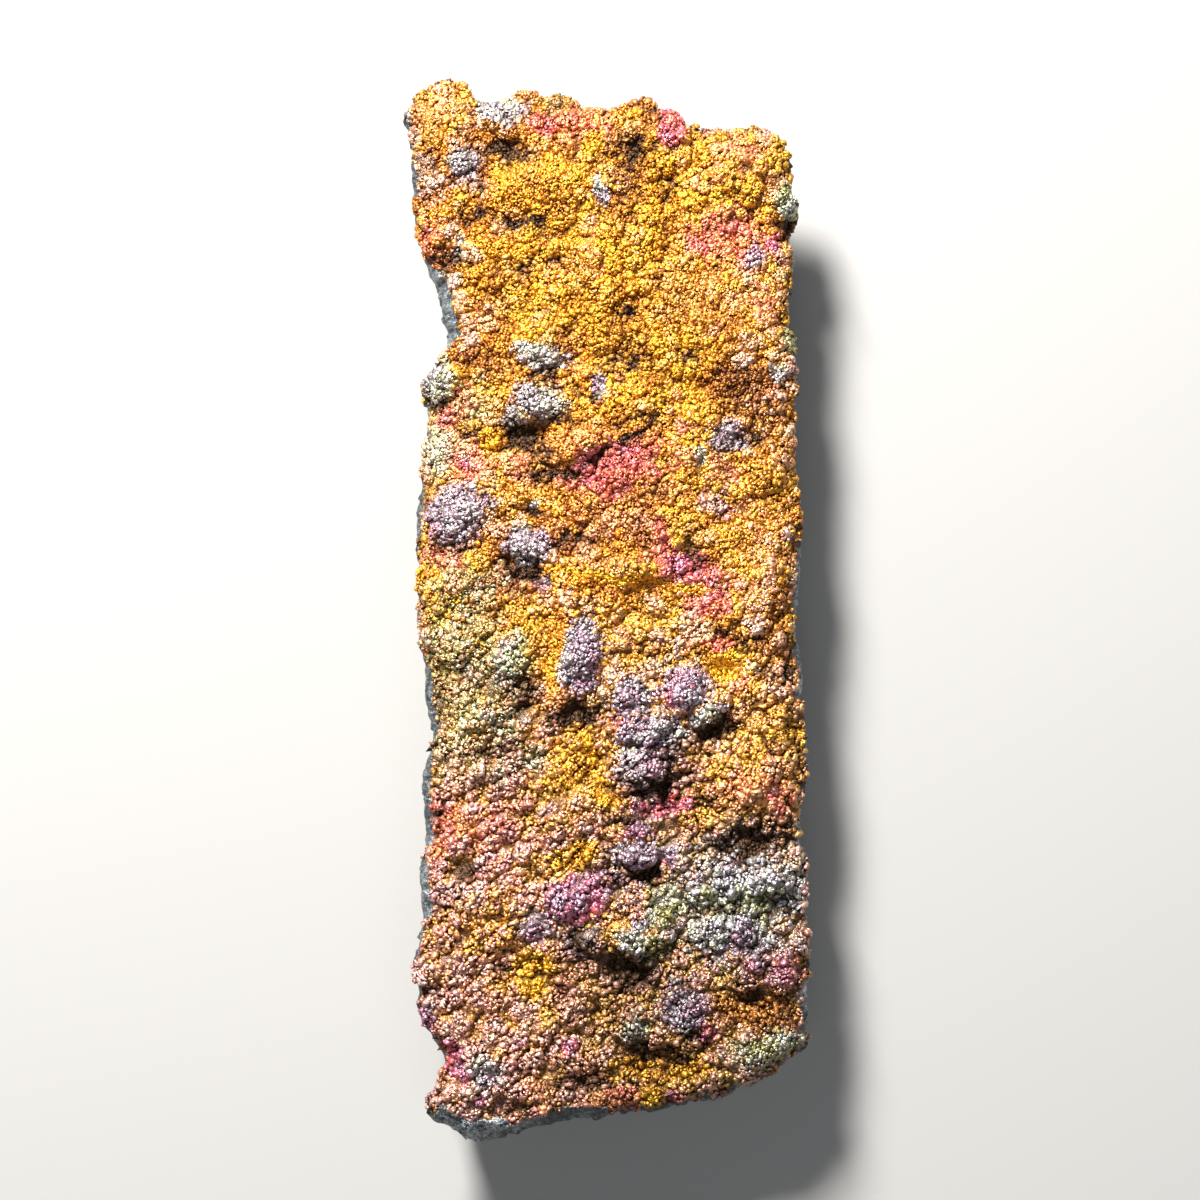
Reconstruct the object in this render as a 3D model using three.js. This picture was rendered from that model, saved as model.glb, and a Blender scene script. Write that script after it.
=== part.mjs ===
// Iridescent goethite: one slab of botryoidal crust, broken out of a vein.
// It lies on its broken back with the crust facing up. Millimetres, +Z up, +Y along the slab,
// and the origin is under the middle of the slab, on the ground.

import * as THREE from "three";
import { ImprovedNoise } from "three/addons/math/ImprovedNoise.js";

// The slab as a whole.
const LENGTH = 110;
const EDGE_HEIGHT = 11.6;
const MIDDLE_SWELL = 2.4;
const SWELL_HALF_WIDTH = 21;
const SWELL_HALF_LENGTH = 60;
const SPINE_NORTH = 34;
const SPINE_SOUTH = -36;

// The mesh of the crust, from edge to edge.
const COLUMNS = 36;
const ROWS = 92;

// The crust bends over at its edge, where the slab broke.
const SHOULDER_WIDTH = 2.6;
const SHOULDER_DROP = 1.3;
const RIM_INSET = 0.25;
const RIM_DROP = 1.1;
const BARE_SLOPE = 1.15;
const STRIP_FADE = 0.9;

// The broken sides and back, one loop of points after another, from the rim down to the ground:
// every how many points of the outline it has one, how far in it lies, and its share of the height.
const SIDE_ROWS = [
  { step: 1, inset: 0.3, share: 0.7 },
  { step: 2, inset: 0.9, share: 0.5 },
  { step: 2, inset: 1.6, share: 0.33 },
  { step: 2, inset: 2.8, share: 0.23 },
  { step: 4, inset: 5.0, share: 0.17 },
  { step: 4, inset: 8.0, share: 0.1 },
];
const BREAK_SIZE = 6.5;
const BREAK_DEPTH = 2.2;
const BREAK_TILT = 0.8;
const BACK_WAVE_SCALE = 0.11;
const BACK_WAVE = 1.1;
const FLAT_HALF_WIDTH = 8.5;
const FLAT_HALF_LENGTH = 27;
const FLAT_CENTRE = [0.6, -1];
const FLAT_POWER = 3;
const FLAT_WOBBLE = 0.12;

// Knobs all over the crust, too many to name, low in the north and high in the south.
const KNOB_SPACING = 3.3;
const KNOB_RISE_NORTH = 0.6;
const KNOB_RISE_SOUTH = 1.15;
const KNOB_REACH = 0.6;
const KNOB_REACH_SPREAD = 0.35;

// The long waves under the knobs.
const WAVE_SCALE = 0.085;
const WAVE_RISE = 0.9;

// The outline seen from above, one edge after another and all the way round.
const SOUTH_EDGE = [
  [-17.1, -53.0], [-14.6, -54.8], [-12.0, -55.0], [-8.2, -53.6], [-5.0, -52.9], [-0.4, -52.4],
  [1.6, -51.3], [4.9, -51.3], [8.0, -50.4], [11.5, -50.2], [13.9, -48.8], [17.2, -47.7],
  [18.9, -46.1], [21.2, -44.4],
];
const EAST_EDGE = [
  [21.2, -44.4], [21.4, -40.0], [21.4, -34.6], [21.0, -28.6], [21.3, -26.5], [20.5, -21.0],
  [20.5, -18.6], [21.3, -17.0], [21.2, -12.5], [20.8, -8.8], [21.0, -5.1], [20.1, -1.4],
  [20.5, 2.3], [20.8, 6.0], [20.5, 12.1], [20.0, 18.3], [20.1, 23.2], [19.9, 28.1],
  [19.2, 29.8], [19.5, 34.3], [19.9, 36.7], [19.3, 38.4], [20.4, 41.7], [19.4, 44.1],
  [19.7, 46.2], [19.2, 48.2], [18.0, 49.5],
];
const NORTH_EDGE = [
  [18.0, 49.5], [15.5, 50.4], [11.5, 50.0], [9.0, 50.6], [8.0, 51.9], [6.2, 52.4],
  [3.6, 53.3], [1.2, 52.3], [-1.8, 52.2], [-3.7, 53.9], [-5.7, 53.4], [-8.4, 54.1],
  [-11.0, 53.7], [-13.1, 53.4], [-14.4, 54.8], [-17.2, 55.0], [-19.2, 53.8], [-21.2, 51.5],
];
const WEST_EDGE = [
  [-21.2, 51.5], [-20.0, 49.2], [-20.2, 46.8], [-20.0, 42.0], [-19.2, 38.4], [-18.0, 34.2],
  [-17.0, 30.0], [-16.4, 28.1], [-17.9, 25.7], [-19.0, 23.2], [-18.1, 20.0], [-18.9, 16.0],
  [-19.8, 10.9], [-19.4, 4.8], [-19.4, -1.4], [-18.7, -5.0], [-18.8, -10.0], [-18.1, -12.2],
  [-19.1, -16.1], [-19.0, -22.0], [-18.5, -24.2], [-19.6, -26.4], [-19.0, -31.5],
  [-20.1, -35.8], [-19.1, -38.6], [-19.2, -41.0], [-17.0, -44.4], [-16.7, -46.8],
  [-18.6, -50.6], [-17.1, -53.0],
];

// Strips where the crust stops short of the outline and the broken side shows from above:
// where each begins and ends along its edge, and how wide it is.
const WEST_STRIPS = [
  [43, 47, 0.6], [28, 36, 1.6], [8, 14, 0.6], [-13, -5, 0.9], [-24, -14, 0.9],
  [-31, -25, 1.3], [-35, -31, 0.4],
];
const EAST_STRIPS = [
  [0, 8, 0.6], [-9, -1, 0.6], [-14, -12, 0.3], [-24, -21, 0.8], [-43.5, -38, 0.8],
];
const NORTH_STRIPS = [[-13, -9.5, 0.5]];
const SOUTH_STRIPS = [[-17.5, -9.5, 3.0], [-9.5, 0.5, 1.9], [0.5, 20, 0.3]];

// Lumps of the crust that stand out by themselves:
// x, y, half width, reach to the north, reach to the south, turn in degrees, rise.
const NORTH_LUMPS = [
  [-16.8, 52.2, 4.2, 3.2, 5.0, 0, 1.2], [-6.3, 44.8, 5.6, 3.6, 4.2, 8, 1.2],
  [-1.6, 47.2, 1.4, 3.4, 3.4, -25, 0.7], [6.4, 50.2, 2.2, 2.6, 3.0, 0, 1.1],
  [14.0, 46.8, 5.8, 3.8, 5.6, 0, 1.2], [18.6, 43.0, 2.0, 2.0, 2.4, 0, 1.1],
  [-17.6, 39.4, 2.8, 3.2, 2.4, 0, 0.8], [-11.5, 51.2, 2.6, 2.4, 2.6, 0, 0.9],
  [-4.6, 51.8, 2.4, 2.2, 2.0, 0, 0.8], [-15.2, 47.0, 2.0, 1.6, 2.0, 20, 0.6],
  [15.8, 37.6, 2.4, 2.0, 2.2, 0, 0.7], [2.5, 38.5, 4.6, 3.6, 3.6, 0, 0.5],
  [-12.5, 38.2, 2.6, 2.0, 2.0, 0, 0.5], [-6.6, 27.2, 2.8, 2.0, 1.5, -10, 1.1],
  [-0.8, 28.8, 1.6, 1.6, 1.4, 0, 0.6], [-16.6, 25.2, 3.0, 2.8, 2.8, 0, 1.2],
  [-6.4, 22.2, 4.4, 3.0, 2.0, -8, 1.9], [-2.6, 17.8, 4.4, 2.6, 2.4, 18, 1.3],
  [10.6, 27.6, 5.0, 3.4, 3.6, 0, 0.5], [9.8, 17.4, 2.6, 2.2, 2.2, 0, 0.7],
  [-15.0, 10.4, 4.6, 4.2, 3.4, 15, 1.4], [-8.0, 7.6, 2.8, 2.4, 2.0, 0, 1.5],
  [16.4, 14.2, 3.4, 3.0, 2.6, 0, 0.6], [2.6, 14.2, 3.6, 2.4, 2.4, 10, 0.6],
];
const MIDDLE_LUMPS = [
  [5.8, 7.6, 1.6, 3.2, 3.0, 0, 0.7], [2.4, 4.9, 7.0, 1.6, 1.6, -5, 0.7],
  [-15.2, 3.4, 4.6, 1.6, 1.4, 28, 0.6], [15.8, 6.0, 3.8, 3.4, 3.4, 0, 0.4],
  [-2.5, -3.6, 2.4, 4.8, 4.4, -6, 1.7], [-9.2, -4.0, 3.4, 2.6, 2.2, -12, 1.2],
  [-15.4, -2.8, 3.2, 2.4, 2.0, 20, 0.7], [8.4, -7.0, 3.0, 2.4, 2.6, 8, 1.7],
  [2.4, -7.8, 2.4, 2.8, 2.6, 0, 1.2], [4.6, -11.6, 4.4, 2.2, 2.2, 6, 1.4],
  [10.8, -9.8, 3.0, 1.8, 1.0, 18, 1.4], [-12.8, -10.2, 4.2, 2.8, 2.2, 12, 1.0],
  [3.6, -15.4, 3.2, 2.2, 2.4, 10, 1.8], [8.9, -13.6, 2.2, 1.8, 1.6, 20, 0.9],
  [15.6, -17.6, 4.6, 3.4, 2.6, 0, 1.3], [-12.4, -16.0, 4.4, 2.4, 2.4, 32, 0.9],
  [-4.8, -20.6, 2.8, 2.8, 2.4, 10, 0.9], [4.2, -20.6, 3.0, 1.4, 1.4, 12, 1.0],
  [-13.6, -21.4, 4.4, 2.2, 2.2, 20, 0.8],
];
const SOUTH_LUMPS = [
  [3.6, -24.0, 3.8, 1.8, 1.3, 4, 1.7], [15.6, -26.6, 5.2, 2.0, 1.6, 4, 1.2],
  [11.0, -28.0, 4.8, 1.3, 1.0, 14, 1.0], [13.4, -32.2, 5.6, 2.2, 2.2, -8, 0.9],
  [-3.2, -28.4, 3.8, 2.4, 2.2, 32, 1.3], [-7.4, -31.8, 2.6, 1.8, 1.8, 38, 1.1],
  [-2.4, -32.8, 2.4, 1.6, 1.8, 10, 1.1], [3.4, -32.8, 3.8, 2.2, 1.2, -6, 1.6],
  [-12.6, -29.4, 4.6, 1.8, 1.8, 34, 0.9], [-14.0, -34.6, 4.0, 1.8, 1.8, 36, 0.8],
  [-17.4, -36.8, 2.4, 1.8, 1.4, 0, 1.3], [8.6, -38.6, 2.2, 1.8, 1.8, 0, 1.2],
  [7.8, -41.8, 2.0, 1.6, 1.6, 0, 0.9], [3.0, -41.8, 2.8, 2.2, 1.8, 8, 1.6],
  [-5.0, -41.0, 4.4, 1.8, 1.8, 26, 1.0], [-12.2, -45.6, 3.4, 3.4, 3.0, 20, 1.1],
  [17.4, -36.0, 3.8, 1.8, 1.8, -18, 0.9], [16.6, -44.2, 4.4, 1.8, 2.2, 16, 0.8],
  [-15.6, -49.2, 2.8, 1.6, 1.8, 24, 0.9], [5.4, -49.0, 5.0, 1.6, 1.4, 8, 0.7],
  [-10.4, -38.8, 2.6, 1.6, 1.6, 30, 0.7],
];

// Hollows, pits and the feet of ledges, written as the lumps are, with how deep each one is.
const HOLLOWS = [
  [-9.2, 47.6, 3.0, 1.4, 1.2, -18, 1.5], [3.2, 47.4, 2.4, 2.4, 2.2, 0, 1.7],
  [6.2, 44.4, 1.6, 1.6, 1.4, 0, 1.1], [18.8, 40.0, 2.2, 1.0, 1.0, -8, 1.3],
  [-13.6, 44.0, 2.2, 1.2, 1.0, 0, 0.9], [-13.2, 41.2, 1.8, 1.0, 1.0, 0, 0.8],
  [-9.0, 40.3, 2.8, 0.9, 1.1, 4, 1.1], [-15.4, 36.4, 2.0, 1.2, 1.2, 0, 0.9],
  [-4.6, 36.4, 1.8, 1.4, 1.4, 0, 0.9], [-8.2, 35.6, 1.4, 1.2, 1.2, 0, 0.7],
  [2.3, 31.2, 1.6, 1.2, 1.2, 0, 0.9], [2.0, 26.4, 3.4, 1.8, 1.4, 10, 0.7],
  [-5.8, 24.6, 2.2, 1.2, 1.0, 0, 0.8], [-8.0, 18.2, 3.4, 1.5, 1.8, 0, 2.3],
  [-5.4, 14.7, 3.4, 1.0, 1.2, 4, 1.2], [2.6, 17.0, 3.2, 0.9, 1.2, 26, 0.9],
  [14.8, 18.4, 2.2, 1.0, 0.9, 0, 0.9], [-17.0, 21.6, 1.8, 1.2, 1.2, 0, 0.9],
  [-7.6, 10.9, 1.6, 0.9, 1.0, 0, 1.0], [-2.6, 7.9, 2.4, 1.2, 1.1, 0, 1.1],
  [-8.0, 4.6, 2.4, 1.1, 1.4, 0, 1.3], [9.6, 6.6, 2.4, 1.0, 1.2, 0, 0.8],
  [3.6, 2.9, 6.4, 0.9, 1.4, -8, 0.7], [-5.3, -4.4, 1.1, 4.2, 4.0, -4, 1.2],
  [-3.0, -9.9, 3.0, 1.4, 2.0, 8, 1.6], [-8.2, -7.4, 1.6, 1.6, 2.6, 0, 1.2],
  [12.8, -2.6, 3.6, 0.9, 0.9, -14, 0.9], [12.4, -5.6, 3.4, 1.8, 2.4, 0, 1.5],
  [17.2, -5.6, 2.6, 1.0, 1.2, 0, 1.0], [11.6, -11.7, 3.2, 0.9, 1.2, 18, 1.3],
  [17.2, -12.8, 1.8, 1.2, 1.2, 0, 1.0], [-1.0, -15.6, 1.5, 4.4, 4.0, 12, 1.2],
  [6.4, -17.9, 3.6, 1.2, 1.2, 12, 1.3], [-16.8, -20.0, 1.8, 1.0, 1.0, 0, 0.8],
  [8.4, -21.6, 3.0, 1.0, 1.2, 14, 0.9], [15.2, -23.0, 4.0, 1.5, 1.8, 4, 1.9],
  [3.6, -26.4, 2.8, 1.0, 1.4, 0, 1.6], [11.6, -29.9, 3.2, 0.9, 1.0, 8, 1.1],
  [-14.2, -26.0, 1.8, 1.0, 1.0, 0, 1.1], [-7.2, -36.8, 2.4, 2.2, 2.2, 20, 1.4],
  [2.4, -36.2, 3.4, 1.7, 2.4, 0, 2.3], [-10.6, -35.8, 1.4, 1.2, 1.2, 0, 0.9],
  [15.4, -39.8, 4.4, 1.8, 1.8, -10, 1.2], [4.6, -44.6, 4.4, 1.2, 2.2, 0, 1.5],
  [10.6, -43.6, 1.8, 1.4, 1.4, 0, 1.0], [-2.4, -47.4, 5.4, 1.2, 1.2, 8, 1.4],
  [-9.6, -49.8, 3.0, 1.0, 1.2, 6, 1.0], [-17.6, -38.6, 1.8, 0.8, 1.0, 0, 0.8],
  [-8.8, -26.8, 3.4, 0.9, 0.9, 24, 0.7],
];

const CRUST_COLOUR = 0xc79a4e;
const CRUST_ROUGHNESS = 0.42;
const CRUST_METALNESS = 0.7;

const noise = new ImprovedNoise();
const { clamp, degToRad, mapLinear, smoothstep } = THREE.MathUtils;

// The outline as one closed loop, anticlockwise from the south-west corner.
function outlineLoop() {
  const edges = [
    [SOUTH_EDGE, COLUMNS],
    [EAST_EDGE, ROWS],
    [NORTH_EDGE, COLUMNS],
    [WEST_EDGE, ROWS],
  ];
  return edges.flatMap(([points, pieces]) => {
    const curve = new THREE.SplineCurve(points.map(([x, y]) => new THREE.Vector2(x, y)));
    return curve.getSpacedPoints(pieces).slice(0, -1);
  });
}

// The way from a point of the outline in to the line along the middle of the slab.
function inward(point) {
  const middle = new THREE.Vector2(0, clamp(point.y, SPINE_SOUTH, SPINE_NORTH));
  return middle.sub(point).normalize();
}

// How wide the broken side shows at a place along an edge.
function stripWidth(strips, along) {
  const widths = strips.map(([from, to, width]) => {
    const opens = smoothstep(along, from - STRIP_FADE, from + STRIP_FADE);
    const closes = smoothstep(along, to - STRIP_FADE, to + STRIP_FADE);
    return width * (opens - closes);
  });
  return Math.max(0, ...widths);
}

function bareWidth(index, point) {
  if (index <= COLUMNS) return stripWidth(SOUTH_STRIPS, point.x);
  if (index <= COLUMNS + ROWS) return stripWidth(EAST_STRIPS, point.y);
  if (index <= 2 * COLUMNS + ROWS) return stripWidth(NORTH_STRIPS, point.x);
  return stripWidth(WEST_STRIPS, point.y);
}

// A lump is a round dome, longer on one side than on the other where it hangs over as a ledge.
function domeHeight(x, y, [centreX, centreY, halfWidth, north, south, turn, rise]) {
  const angle = degToRad(turn);
  const across = (x - centreX) * Math.cos(angle) + (y - centreY) * Math.sin(angle);
  const along = (y - centreY) * Math.cos(angle) - (x - centreX) * Math.sin(angle);
  const reach = along > 0 ? north : south;
  const distance = (across / halfWidth) ** 2 + (along / reach) ** 2;
  return distance < 1 ? rise * (1 - distance) ** 1.5 : 0;
}

// A number from 0 to 1 that belongs to one cell of a pattern.
function cellValue(i, j, k, kind) {
  const mixed = Math.sin(i * 127.1 + j * 311.7 + k * 191.3 + kind * 74.7) * 43758.5453;
  return mixed - Math.floor(mixed);
}

// A cell's own point, off the cell's middle.
function cellPoint(i, j, k) {
  const [x, y, z] = [1, 2, 3].map((kind) => 0.15 + 0.7 * cellValue(i, j, k, kind));
  return new THREE.Vector3(i + x, j + y, k + z);
}

// Knobs crowd together, one to a cell, each at a place and of a size of its own.
function knobHeight(x, y) {
  const place = new THREE.Vector3(x / KNOB_SPACING, y / KNOB_SPACING, 0);
  const [column, row] = [Math.floor(place.x), Math.floor(place.y)];
  let highest = 0;
  for (let i = column - 1; i <= column + 1; i++) {
    for (let j = row - 1; j <= row + 1; j++) {
      const knob = cellPoint(i, j, 0).setZ(0);
      const reach = KNOB_REACH + KNOB_REACH_SPREAD * cellValue(i, j, 0, 4);
      highest = Math.max(highest, 1 - place.distanceToSquared(knob) / reach ** 2);
    }
  }
  return highest * mapLinear(y, LENGTH / 2, -LENGTH / 2, KNOB_RISE_NORTH, KNOB_RISE_SOUTH);
}

// The stone broke in flat facets: each has its own depth and its own tilt.
function breakDepth(point) {
  const place = point.clone().divideScalar(BREAK_SIZE);
  const [column, row, level] = place.toArray().map(Math.floor);
  let facet = null;
  for (let i = column - 1; i <= column + 1; i++) {
    for (let j = row - 1; j <= row + 1; j++) {
      for (let k = level - 1; k <= level + 1; k++) {
        const middle = cellPoint(i, j, k);
        const distance = place.distanceToSquared(middle);
        if (!facet || distance < facet.distance) facet = { distance, middle, cell: [i, j, k] };
      }
    }
  }
  const tilt = new THREE.Vector3(...[5, 6, 7].map((kind) => cellValue(...facet.cell, kind) - 0.5));
  const slope = place.sub(facet.middle).dot(tilt) * BREAK_TILT * BREAK_SIZE;
  return BREAK_DEPTH * cellValue(...facet.cell, 8) + slope;
}

// Height of the crust over the ground, at a distance from its edge.
function crustHeight(x, y, fromEdge) {
  const swell = MIDDLE_SWELL * (1 - (x / SWELL_HALF_WIDTH) ** 2) * (1 - (y / SWELL_HALF_LENGTH) ** 4);
  const waves = WAVE_RISE * noise.noise(x * WAVE_SCALE, y * WAVE_SCALE, 3.7);
  const shoulder = SHOULDER_DROP * (1 - smoothstep(fromEdge, 0, SHOULDER_WIDTH)) ** 2;
  const lumps = [...NORTH_LUMPS, ...MIDDLE_LUMPS, ...SOUTH_LUMPS];
  const raised = lumps.reduce((sum, lump) => sum + domeHeight(x, y, lump), 0);
  const sunk = HOLLOWS.reduce((sum, hollow) => sum + domeHeight(x, y, hollow), 0);
  return EDGE_HEIGHT + swell + waves + knobHeight(x, y) + raised - sunk - shoulder;
}

// The crust's edge: the outline drawn in a little, and further where the broken side shows.
function rimLoop(outline) {
  return outline.map((point, index) => {
    const inset = RIM_INSET + bareWidth(index, point);
    const place = inward(point).multiplyScalar(inset).add(point);
    return new THREE.Vector3(place.x, place.y, crustHeight(place.x, place.y, 0));
  });
}

// Points of the crust between its four edges, each a blend of the edges across and along it.
function crustPoint(rim, column, row) {
  const across = column / COLUMNS;
  const along = row / ROWS;
  const south = rim[column];
  const east = rim[COLUMNS + row];
  const north = rim[2 * COLUMNS + ROWS - column];
  const west = rim[(2 * COLUMNS + 2 * ROWS - row) % rim.length];
  const southWest = rim[0];
  const southEast = rim[COLUMNS];
  const northEast = rim[COLUMNS + ROWS];
  const northWest = rim[2 * COLUMNS + ROWS];
  const place = new THREE.Vector3();
  place.addScaledVector(south, 1 - along).addScaledVector(north, along);
  place.addScaledVector(west, 1 - across).addScaledVector(east, across);
  place.addScaledVector(southWest, -(1 - across) * (1 - along));
  place.addScaledVector(southEast, -across * (1 - along));
  place.addScaledVector(northEast, -across * along);
  place.addScaledVector(northWest, -(1 - across) * along);
  const nearestSide = Math.min(
    place.distanceTo(south), place.distanceTo(east),
    place.distanceTo(north), place.distanceTo(west),
  );
  place.z = crustHeight(place.x, place.y, nearestSide);
  return place;
}

// The widest part of the side, under the rim.
function bulgeLoop(outline, rim) {
  return outline.map((point, index) => {
    const drop = RIM_DROP + BARE_SLOPE * bareWidth(index, point);
    return new THREE.Vector3(point.x, point.y, rim[index].z - drop);
  });
}

// One loop of the broken side or back, drawn in to the depth of the facet it is on.
function sideLoop(outline, rim, { step, inset, share }) {
  const loop = [];
  for (let index = 0; index < outline.length; index += step) {
    const point = outline[index];
    const wave = noise.noise(point.x * BACK_WAVE_SCALE, point.y * BACK_WAVE_SCALE, 0.5);
    const height = rim[index].z * share * (1 + BACK_WAVE * wave * (1 - share));
    const depth = inset + Math.max(0, breakDepth(new THREE.Vector3(point.x, point.y, height)));
    const place = inward(point).multiplyScalar(depth).add(point);
    loop.push(new THREE.Vector3(place.x, place.y, height));
  }
  return loop;
}

// The edge of the flat spot on the back that the slab rests on.
function flatLoop(outline, step) {
  const loop = [];
  for (let index = 0; index < outline.length; index += step) {
    const { x, y } = outline[index];
    const across = Math.abs(x / FLAT_HALF_WIDTH) ** FLAT_POWER;
    const along = Math.abs(y / FLAT_HALF_LENGTH) ** FLAT_POWER;
    const wave = noise.noise(x * BACK_WAVE_SCALE, y * BACK_WAVE_SCALE, 0.5);
    const size = (1 + FLAT_WOBBLE * wave) / (across + along) ** (1 / FLAT_POWER);
    loop.push(new THREE.Vector3(FLAT_CENTRE[0] + x * size, FLAT_CENTRE[1] + y * size, 0));
  }
  return loop;
}

// Collects points and triangles of the one closed surface.
class Surface {
  constructor() {
    this.points = [];
    this.triangles = [];
  }

  add(points) {
    const first = this.points.length;
    this.points.push(...points);
    return points.map((_, index) => first + index);
  }

  // Joins a loop to one below it that has as many points.
  band(upper, lower) {
    upper.forEach((corner, index) => {
      const next = (index + 1) % upper.length;
      this.triangles.push(corner, lower[index], lower[next]);
      this.triangles.push(corner, lower[next], upper[next]);
    });
  }

  // Joins a loop to one below it that has half as many points.
  narrowingBand(upper, lower) {
    lower.forEach((corner, index) => {
      const next = lower[(index + 1) % lower.length];
      const [first, middle, last] = [0, 1, 2].map((k) => upper[(2 * index + k) % upper.length]);
      this.triangles.push(first, corner, middle);
      this.triangles.push(middle, corner, next);
      this.triangles.push(middle, next, last);
    });
  }

  geometry() {
    const geometry = new THREE.BufferGeometry().setFromPoints(this.points);
    geometry.setIndex(this.triangles);
    geometry.computeVertexNormals();
    return geometry;
  }
}

// The crust, as squares of two triangles inside the rim.
function addCrust(surface, rim, rimPlaces) {
  const places = [];
  for (let row = 0; row <= ROWS; row++) {
    places.push([]);
    for (let column = 0; column <= COLUMNS; column++) {
      let place;
      if (row === 0) place = rimPlaces[column];
      else if (column === COLUMNS) place = rimPlaces[COLUMNS + row];
      else if (row === ROWS) place = rimPlaces[2 * COLUMNS + ROWS - column];
      else if (column === 0) place = rimPlaces[2 * COLUMNS + 2 * ROWS - row];
      else [place] = surface.add([crustPoint(rim, column, row)]);
      places[row].push(place);
    }
  }
  for (let row = 0; row < ROWS; row++) {
    for (let column = 0; column < COLUMNS; column++) {
      const [southWest, southEast] = [places[row][column], places[row][column + 1]];
      const [northWest, northEast] = [places[row + 1][column], places[row + 1][column + 1]];
      surface.triangles.push(southWest, southEast, northEast);
      surface.triangles.push(southWest, northEast, northWest);
    }
  }
}

// The sides and the back, from the rim down to the flat spot.
function addSides(surface, outline, rim, rimPlaces) {
  let upper = rimPlaces;
  let upperStep = 1;
  const loops = [
    [bulgeLoop(outline, rim), 1],
    ...SIDE_ROWS.map((row) => [sideLoop(outline, rim, row), row.step]),
    [flatLoop(outline, 4), 4],
  ];
  loops.forEach(([loop, step]) => {
    const lower = surface.add(loop);
    if (step === upperStep) surface.band(upper, lower);
    else surface.narrowingBand(upper, lower);
    upper = lower;
    upperStep = step;
  });
  return upper;
}

// The flat spot itself, facing down.
function addFlat(surface, edge) {
  const contour = edge.map((place) => surface.points[place]);
  THREE.ShapeUtils.triangulateShape(contour, []).forEach(([a, b, c]) => {
    surface.triangles.push(edge[a], edge[c], edge[b]);
  });
}

// The slab at its real length, centred over the origin and standing on the ground.
function slabGeometry() {
  const outline = outlineLoop();
  const rim = rimLoop(outline);
  const surface = new Surface();
  const rimPlaces = surface.add(rim);
  addCrust(surface, rim, rimPlaces);
  addFlat(surface, addSides(surface, outline, rim, rimPlaces));
  const geometry = surface.geometry();
  geometry.computeBoundingBox();
  const scale = LENGTH / (geometry.boundingBox.max.y - geometry.boundingBox.min.y);
  geometry.scale(scale, scale, scale);
  geometry.computeBoundingBox();
  const { min, max } = geometry.boundingBox;
  geometry.translate(-(min.x + max.x) / 2, -(min.y + max.y) / 2, -min.z);
  return geometry;
}

const crust = new THREE.MeshStandardMaterial({
  color: CRUST_COLOUR,
  roughness: CRUST_ROUGHNESS,
  metalness: CRUST_METALNESS,
});

const goethite = new THREE.Mesh(slabGeometry(), crust);
goethite.name = "goethite";

const specimen = new THREE.Group();
specimen.add(goethite);

export default specimen;
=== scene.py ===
import math

import bmesh
import bpy
import numpy as np
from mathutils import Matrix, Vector, noise


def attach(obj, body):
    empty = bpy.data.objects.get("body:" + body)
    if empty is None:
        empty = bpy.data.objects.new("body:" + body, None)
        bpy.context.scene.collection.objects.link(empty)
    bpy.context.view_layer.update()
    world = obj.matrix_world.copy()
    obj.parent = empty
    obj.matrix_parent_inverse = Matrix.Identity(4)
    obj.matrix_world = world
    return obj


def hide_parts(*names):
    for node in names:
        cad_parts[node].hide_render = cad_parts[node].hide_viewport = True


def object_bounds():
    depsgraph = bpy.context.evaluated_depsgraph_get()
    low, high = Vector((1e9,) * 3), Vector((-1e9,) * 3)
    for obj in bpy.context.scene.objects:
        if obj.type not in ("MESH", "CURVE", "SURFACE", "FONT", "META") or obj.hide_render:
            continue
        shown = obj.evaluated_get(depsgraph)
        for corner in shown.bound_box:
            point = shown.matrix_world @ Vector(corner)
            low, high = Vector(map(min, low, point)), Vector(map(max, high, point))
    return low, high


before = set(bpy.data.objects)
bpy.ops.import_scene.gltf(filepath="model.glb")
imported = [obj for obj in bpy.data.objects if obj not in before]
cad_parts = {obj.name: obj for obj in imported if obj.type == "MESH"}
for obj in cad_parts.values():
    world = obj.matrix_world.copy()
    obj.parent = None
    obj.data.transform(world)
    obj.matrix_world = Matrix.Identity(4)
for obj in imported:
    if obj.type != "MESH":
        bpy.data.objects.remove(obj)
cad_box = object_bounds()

# The camera looks straight down on the crust of the slab, which lies on its back, and the
# upper edge of the picture is +Y. The slab is 1073 of the picture's 1200 pixels long.
MM = 0.001
SLAB_PIXELS = 1073
SLAB_MIDDLE_ACROSS = 605
SLAB_MIDDLE_DOWN = 618.5
PICTURE_PIXELS = 1200
LENS_MM = 100
SENSOR_MM = 36
CRUST_LEVEL = 12 * MM

low, high = cad_box
pixel = (high[1] - low[1]) / SLAB_PIXELS
camera_data = bpy.data.cameras.new("camera")
camera_data.lens = LENS_MM
camera_data.sensor_width = SENSOR_MM
camera_data.clip_start = 0.01
camera = bpy.data.objects.new("camera", camera_data)
camera.location = (
    (PICTURE_PIXELS / 2 - SLAB_MIDDLE_ACROSS) * pixel,
    (SLAB_MIDDLE_DOWN - PICTURE_PIXELS / 2) * pixel,
    CRUST_LEVEL + PICTURE_PIXELS * pixel * LENS_MM / SENSOR_MM,
)
bpy.context.scene.collection.objects.link(camera)
bpy.context.scene.camera = camera


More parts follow.
